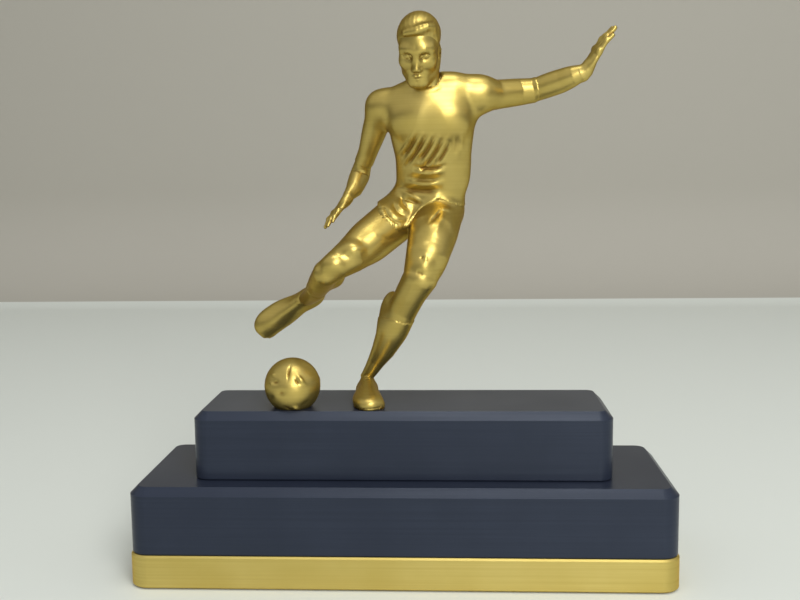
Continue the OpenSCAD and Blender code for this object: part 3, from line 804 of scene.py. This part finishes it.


# ---------------------------------------------------------------- painted shade in the hollows

def mark_hollows(piece, spread=6):
    """Stores how hollow the surface is at each corner, for the finish to darken as painted shade."""
    mesh = piece.data
    p = corners_of(mesh) / MM
    a, b = neighbours(mesh)
    count = np.bincount(a, minlength=len(p))[:, None]
    n = np.zeros(len(p) * 3)
    mesh.vertices.foreach_get("normal", n)
    n = n.reshape(-1, 3)
    mean = np.stack([np.bincount(a, weights=p[b, k], minlength=len(p)) for k in range(3)], axis=1) / count
    hollow = np.sum((mean - p) * n, axis=1) / np.mean(np.linalg.norm(p[a] - p[b], axis=1)) ** 2
    for _ in range(spread):
        hollow = 0.5 * hollow + 0.5 * np.bincount(a, weights=hollow[b], minlength=len(p)) / count[:, 0]
    layer = mesh.attributes.new("hollow", "FLOAT", "POINT")
    layer.data.foreach_set("value", np.clip(hollow * 1.6, -1, 1).astype(np.float32))


# ---------------------------------------------------------------- finishes

def group_socket(tree, name, way, kind="NodeSocketFloat", value=None):
    s = tree.interface.new_socket(name=name, in_out=way, socket_type=kind)
    if value is not None:
        s.default_value = value
    return s


def node(tree, kind, links=None, **values):
    """Adds a node, sets its values, and links its inputs from (node, output) pairs."""
    n = tree.nodes.new(kind)
    for key, value in values.items():
        setattr(n, key, value)
    for key, source in (links or {}).items():
        if isinstance(source, tuple) and isinstance(source[0], bpy.types.Node):
            tree.links.new(source[0].outputs[source[1]], n.inputs[key])
        else:
            n.inputs[key].default_value = source
    return n


def math_node(tree, operation, *sources):
    return node(tree, "ShaderNodeMath", dict(enumerate(sources)), operation=operation)


def layer_line_group():
    """Printed layers: a fine wave up the piece, streaks that follow the layers, and a fine grain."""
    t = bpy.data.node_groups.new("layer_lines", "ShaderNodeTree")
    group_socket(t, "Place", "INPUT", "NodeSocketVector")
    group_socket(t, "Pitch", "INPUT", value=0.0004)
    group_socket(t, "Grain Scale", "INPUT", value=1500.0)
    for name in ("Wave", "Streak", "Grain"):
        group_socket(t, name, "OUTPUT")
    inp, out = t.nodes.new("NodeGroupInput"), t.nodes.new("NodeGroupOutput")
    xyz = node(t, "ShaderNodeSeparateXYZ", {"Vector": (inp, "Place")})
    turns = math_node(t, "DIVIDE", (xyz, "Z"), (inp, "Pitch"))
    wave = math_node(t, "PINGPONG", (turns, 0), 0.5)
    flat = node(t, "ShaderNodeMapping", {"Vector": (inp, "Place"), "Scale": (14, 14, 1500)})
    streak = node(t, "ShaderNodeTexNoise", {"Vector": (flat, 0), "Scale": 1.0, "Detail": 3.0})
    grain = node(t, "ShaderNodeTexNoise",
                 {"Vector": (inp, "Place"), "Scale": (inp, "Grain Scale"), "Detail": 2.0})
    t.links.new(wave.outputs[0], out.inputs["Wave"])
    t.links.new(streak.outputs["Fac"], out.inputs["Streak"])
    t.links.new(grain.outputs["Fac"], out.inputs["Grain"])
    return t


def cloud_group():
    """Slow, soft variation of a finish, as handling and uneven cooling leave it."""
    t = bpy.data.node_groups.new("soft_variation", "ShaderNodeTree")
    group_socket(t, "Place", "INPUT", "NodeSocketVector")
    group_socket(t, "Scale", "INPUT", value=60.0)
    group_socket(t, "Cloud", "OUTPUT")
    inp, out = t.nodes.new("NodeGroupInput"), t.nodes.new("NodeGroupOutput")
    noise = node(t, "ShaderNodeTexNoise",
                 {"Vector": (inp, "Place"), "Scale": (inp, "Scale"), "Detail": 3.0, "Roughness": 0.55})
    spread = node(t, "ShaderNodeMapRange", {"Value": (noise, "Fac"), "From Min": 0.35, "From Max": 0.65})
    t.links.new(spread.outputs["Result"], out.inputs["Cloud"])
    return t


LAYERS, CLOUDS = layer_line_group(), cloud_group()


def finish_base(name, pitch, grain, cloud_scale):
    """A material with its own Principled shader and the shared layer and cloud groups placed in it."""
    m = bpy.data.materials.new(name)
    m.use_nodes = True
    t = m.node_tree
    shader = t.nodes["Principled BSDF"]
    place = t.nodes.new("ShaderNodeTexCoord")
    layers = node(t, "ShaderNodeGroup", node_tree=LAYERS)
    clouds = node(t, "ShaderNodeGroup", node_tree=CLOUDS)
    for g in (layers, clouds):
        t.links.new(place.outputs["Object"], g.inputs["Place"])
    layers.inputs["Pitch"].default_value = pitch
    layers.inputs["Grain Scale"].default_value = grain
    clouds.inputs["Scale"].default_value = cloud_scale
    return m, t, shader, layers, clouds


def mix_colour(t, factor, a, b):
    n = node(t, "ShaderNodeMix", data_type="RGBA")
    for socket, source in ((0, factor), (6, a), (7, b)):
        if isinstance(source, tuple) and isinstance(source[0], bpy.types.Node):
            t.links.new(source[0].outputs[source[1]], n.inputs[socket])
        else:
            n.inputs[socket].default_value = source if np.isscalar(source) else (*source, 1)
    return n


def spread_range(t, source, low, high, at_low=0.0, at_high=1.0):
    return node(t, "ShaderNodeMapRange",
                {"Value": source, "From Min": at_low, "From Max": at_high, "To Min": low, "To Max": high})


def add_bumps(t, shader, heights):
    """Chains bump nodes, each with its own strength and depth in metres."""
    normal = None
    for source, strength, depth in heights:
        links = {"Height": source, "Strength": strength, "Distance": depth}
        if normal:
            links["Normal"] = (normal, "Normal")
        normal = node(t, "ShaderNodeBump", links)
    t.links.new(normal.outputs["Normal"], shader.inputs["Normal"])


def gold_figure():
    m, t, shader, layers, clouds = finish_base("gold_figure", 0.00016, 2600.0, 90.0)
    hollow = node(t, "ShaderNodeAttribute", attribute_name="hollow")
    deep = spread_range(t, (hollow, "Fac"), 0.0, 1.0, 0.05, 0.6)
    worn = mix_colour(t, (clouds, "Cloud"), (0.51, 0.385, 0.10), (0.56, 0.43, 0.125))
    # painted shade: the gold turns dark brown where the surface is hollow, in creases, folds and recesses
    shaded = mix_colour(t, (deep, "Result"), (worn, 2), (0.26, 0.15, 0.03))
    streak = spread_range(t, (layers, "Streak"), 0.0, 0.25, 0.35, 0.7)
    streaked = mix_colour(t, (streak, "Result"), (shaded, 2), (0.42, 0.30, 0.07))
    t.links.new(streaked.outputs[2], shader.inputs["Base Color"])
    shader.inputs["Metallic"].default_value = 0.92
    shader.inputs["Specular Tint"].default_value = (0.36, 0.23, 0.09, 1)
    shader.inputs["Coat Weight"].default_value = 0.1
    shader.inputs["Coat Roughness"].default_value = 0.32
    rough = spread_range(t, (layers, "Streak"), 0.33, 0.41, 0.3, 0.7)
    t.links.new(rough.outputs["Result"], shader.inputs["Roughness"])
    add_bumps(t, shader, [((layers, "Wave"), 0.25, 0.00002), ((layers, "Grain"), 0.15, 0.00003)])
    return m


def gold_band():
    m, t, shader, layers, clouds = finish_base("gold_band", 0.0004, 1800.0, 40.0)
    base = mix_colour(t, (clouds, "Cloud"), (0.55, 0.43, 0.12), (0.61, 0.49, 0.155))
    streak = spread_range(t, (layers, "Streak"), 0.0, 0.4, 0.35, 0.7)
    streaked = mix_colour(t, (streak, "Result"), (base, 2), (0.48, 0.36, 0.09))
    t.links.new(streaked.outputs[2], shader.inputs["Base Color"])
    shader.inputs["Metallic"].default_value = 0.8
    shader.inputs["Specular Tint"].default_value = (1.0, 0.7, 0.35, 1)
    rough = spread_range(t, (layers, "Streak"), 0.36, 0.46, 0.3, 0.7)
    t.links.new(rough.outputs["Result"], shader.inputs["Roughness"])
    add_bumps(t, shader, [((layers, "Wave"), 0.3, 0.00003), ((layers, "Streak"), 0.3, 0.00003),
                          ((layers, "Grain"), 0.15, 0.00003)])
    return m


def black_plinth():
    m, t, shader, layers, clouds = finish_base("black_plinth", 0.0004, 1600.0, 30.0)
    base = mix_colour(t, (clouds, "Cloud"), (0.0155, 0.020, 0.0335), (0.0195, 0.025, 0.041))
    streak = spread_range(t, (layers, "Streak"), 0.0, 0.6, 0.35, 0.7)
    streaked = mix_colour(t, (streak, "Result"), (base, 2), (0.0125, 0.0165, 0.0285))
    t.links.new(streaked.outputs[2], shader.inputs["Base Color"])
    shader.inputs["Specular IOR Level"].default_value = 0.32
    shader.inputs["Specular Tint"].default_value = (0.8, 0.88, 1.0, 1)
    rough = spread_range(t, (layers, "Streak"), 0.28, 0.38, 0.3, 0.7)
    t.links.new(rough.outputs["Result"], shader.inputs["Roughness"])
    add_bumps(t, shader, [((layers, "Wave"), 0.35, 0.00004), ((layers, "Streak"), 0.35, 0.00004),
                          ((layers, "Grain"), 0.2, 0.00003)])
    return m


def turned_metal(name, colour, shade, roughness):
    """Steel or brass of the hidden fasteners."""
    m, t, shader, layers, clouds = finish_base(name, 0.0002, 3000.0, 300.0)
    base = mix_colour(t, (clouds, "Cloud"), colour, shade)
    t.links.new(base.outputs[2], shader.inputs["Base Color"])
    shader.inputs["Metallic"].default_value = 1.0
    rough = spread_range(t, (layers, "Grain"), roughness, roughness + 0.12, 0.3, 0.7)
    t.links.new(rough.outputs["Result"], shader.inputs["Roughness"])
    add_bumps(t, shader, [((layers, "Wave"), 0.2, 0.00002), ((layers, "Grain"), 0.1, 0.00002)])
    return m


def pad_rubber():
    m, t, shader, layers, clouds = finish_base("pad_rubber", 0.0005, 2200.0, 200.0)
    base = mix_colour(t, (clouds, "Cloud"), (0.018, 0.018, 0.019), (0.032, 0.032, 0.033))
    t.links.new(base.outputs[2], shader.inputs["Base Color"])
    rough = spread_range(t, (layers, "Grain"), 0.72, 0.88, 0.3, 0.7)
    t.links.new(rough.outputs["Result"], shader.inputs["Roughness"])
    add_bumps(t, shader, [((layers, "Grain"), 0.4, 0.00006)])
    return m


# ---------------------------------------------------------------- studio

CAMERA_AT = Vector((0.01726, -0.33737, 0.13395))
PITCH, YAW, ROLL = 0.1242, -0.0535, -0.0122
LENS = 44.907
FLOOR_COLOUR = (0.66, 0.69, 0.64)
WALL_COLOUR = (0.42, 0.40, 0.345)
SWEEP_Y, SWEEP_R, WALL_TOP, STAGE_HALF, STAGE_FRONT = 0.78, 0.12, 2.2, 2.2, -2.0


def make_camera():
    f0 = Vector((math.sin(YAW) * math.cos(PITCH), math.cos(YAW) * math.cos(PITCH), -math.sin(PITCH)))
    r0 = Vector((math.cos(YAW), -math.sin(YAW), 0))
    u0 = r0.cross(f0)
    right = r0 * math.cos(ROLL) + u0 * math.sin(ROLL)
    up = u0 * math.cos(ROLL) - r0 * math.sin(ROLL)
    data = bpy.data.cameras.new("camera")
    data.lens, data.sensor_width, data.clip_start = LENS, 36.0, 0.01
    camera = bpy.data.objects.new("camera", data)
    camera.matrix_world = Matrix((right, up, -f0)).transposed().to_4x4()
    camera.location = CAMERA_AT
    bpy.context.scene.collection.objects.link(camera)
    bpy.context.scene.camera = camera


def plain_material(name, colour, roughness):
    m = bpy.data.materials.new(name)
    m.use_nodes = True
    shader = m.node_tree.nodes["Principled BSDF"]
    shader.inputs["Base Color"].default_value = (*colour, 1)
    shader.inputs["Roughness"].default_value = roughness
    return m


def make_stage():
    """Pale floor that sweeps up into a plain wall."""
    bm = bmesh.new()
    steps = 16
    rows = [(STAGE_FRONT, 0.0), (SWEEP_Y - SWEEP_R, 0.0)]
    rows += [(SWEEP_Y - SWEEP_R + SWEEP_R * math.sin(a), SWEEP_R - SWEEP_R * math.cos(a))
             for a in (math.pi / 2 * i / steps for i in range(1, steps + 1))]
    rows.append((SWEEP_Y, WALL_TOP))
    row = [bm.verts.new((-STAGE_HALF, y, z)) for y, z in rows]
    edges = [bm.edges.new(pair) for pair in zip(row, row[1:])]
    made = bmesh.ops.extrude_edge_only(bm, edges=edges)
    far_edge = [v for v in made["geom"] if isinstance(v, bmesh.types.BMVert)]
    bmesh.ops.translate(bm, verts=far_edge, vec=(2 * STAGE_HALF, 0, 0))
    bmesh.ops.recalc_face_normals(bm, faces=bm.faces[:])
    mesh = bpy.data.meshes.new("stage")
    bm.to_mesh(mesh)
    bm.free()
    mesh.materials.append(plain_material("pale_floor", FLOOR_COLOUR, 0.6))
    mesh.materials.append(plain_material("plain_wall", WALL_COLOUR, 0.8))
    for f in mesh.polygons:
        f.use_smooth = True
        f.material_index = int(f.center.z > 0.004)
    stage = bpy.data.objects.new("stage", mesh)
    bpy.context.scene.collection.objects.link(stage)


def add_lamp(name, at, aim, size, watts):
    data = bpy.data.lights.new(name, "AREA")
    data.shape, data.size, data.size_y = "RECTANGLE", size[0], size[1]
    data.energy = watts
    lamp = bpy.data.objects.new(name, data)
    lamp.location = at
    lamp.rotation_euler = (Vector(aim) - Vector(at)).to_track_quat("-Z", "Z").to_euler()
    bpy.context.scene.collection.objects.link(lamp)


def make_lights():
    add_lamp("key", (0.44, -1.02, 0.66), (0, 0, 0.12), (0.42, 1.1), 12.5)
    add_lamp("overhead", (0.12, -0.22, 1.3), (0, 0, 0.05), (0.6, 0.3), 3.8)
    world = bpy.data.worlds.new("studio")
    bpy.context.scene.world = world
    world.use_nodes = True
    t = world.node_tree
    way = t.nodes.new("ShaderNodeTexCoord")
    xyz = node(t, "ShaderNodeSeparateXYZ", {"Vector": (way, "Generated")})
    rise = spread_range(t, (xyz, "Z"), 0.06, 0.7, 0.03, 0.35)
    t.nodes["Background"].inputs["Color"].default_value = (0.88, 0.89, 0.90, 1)
    t.links.new(rise.outputs["Result"], t.nodes["Background"].inputs["Strength"])


# ---------------------------------------------------------------- assembly

def dress(piece, finish, replaced):
    piece.data.materials.clear()
    piece.data.materials.append(finish)
    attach(piece, "root")
    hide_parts(replaced)


def dress_node(name, finish):
    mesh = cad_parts[name].data
    if not mesh.materials:
        mesh.materials.append(finish)
    for i in range(len(mesh.materials)):
        mesh.materials[i] = finish


make_camera()
make_stage()
make_lights()

GOLD, BAND, BLACK = gold_figure(), gold_band(), black_plinth()
STEEL = turned_metal("screw_steel", (0.56, 0.57, 0.58), (0.48, 0.49, 0.51), 0.28)
BRASS = turned_metal("insert_brass", (0.72, 0.55, 0.25), (0.62, 0.46, 0.20), 0.30)
RUBBER = pad_rubber()

for make in (make_jersey, make_shorts, make_legs, make_socks, make_boots, make_arms, make_head, make_hair):
    part = make()
    mark_hollows(part)
    dress(part, GOLD, "figure")
ball = make_ball()
mark_hollows(ball)
dress(ball, GOLD, "ball")

dress_node("base_band", BAND)
for name in ("lower_tier", "upper_tier"):
    dress_node(name, BLACK)
for name in ("figure_screw", "figure_washer", "figure_dowel", "ball_screw", "ball_washer",
             "tier_screws", "tier_washers", "band_screws"):
    dress_node(name, STEEL)
for name in ("figure_insert", "ball_insert", "tier_inserts", "band_inserts"):
    dress_node(name, BRASS)
dress_node("rubber_pads", RUBBER)

scene = bpy.context.scene
scene.view_settings.view_transform = "Standard"
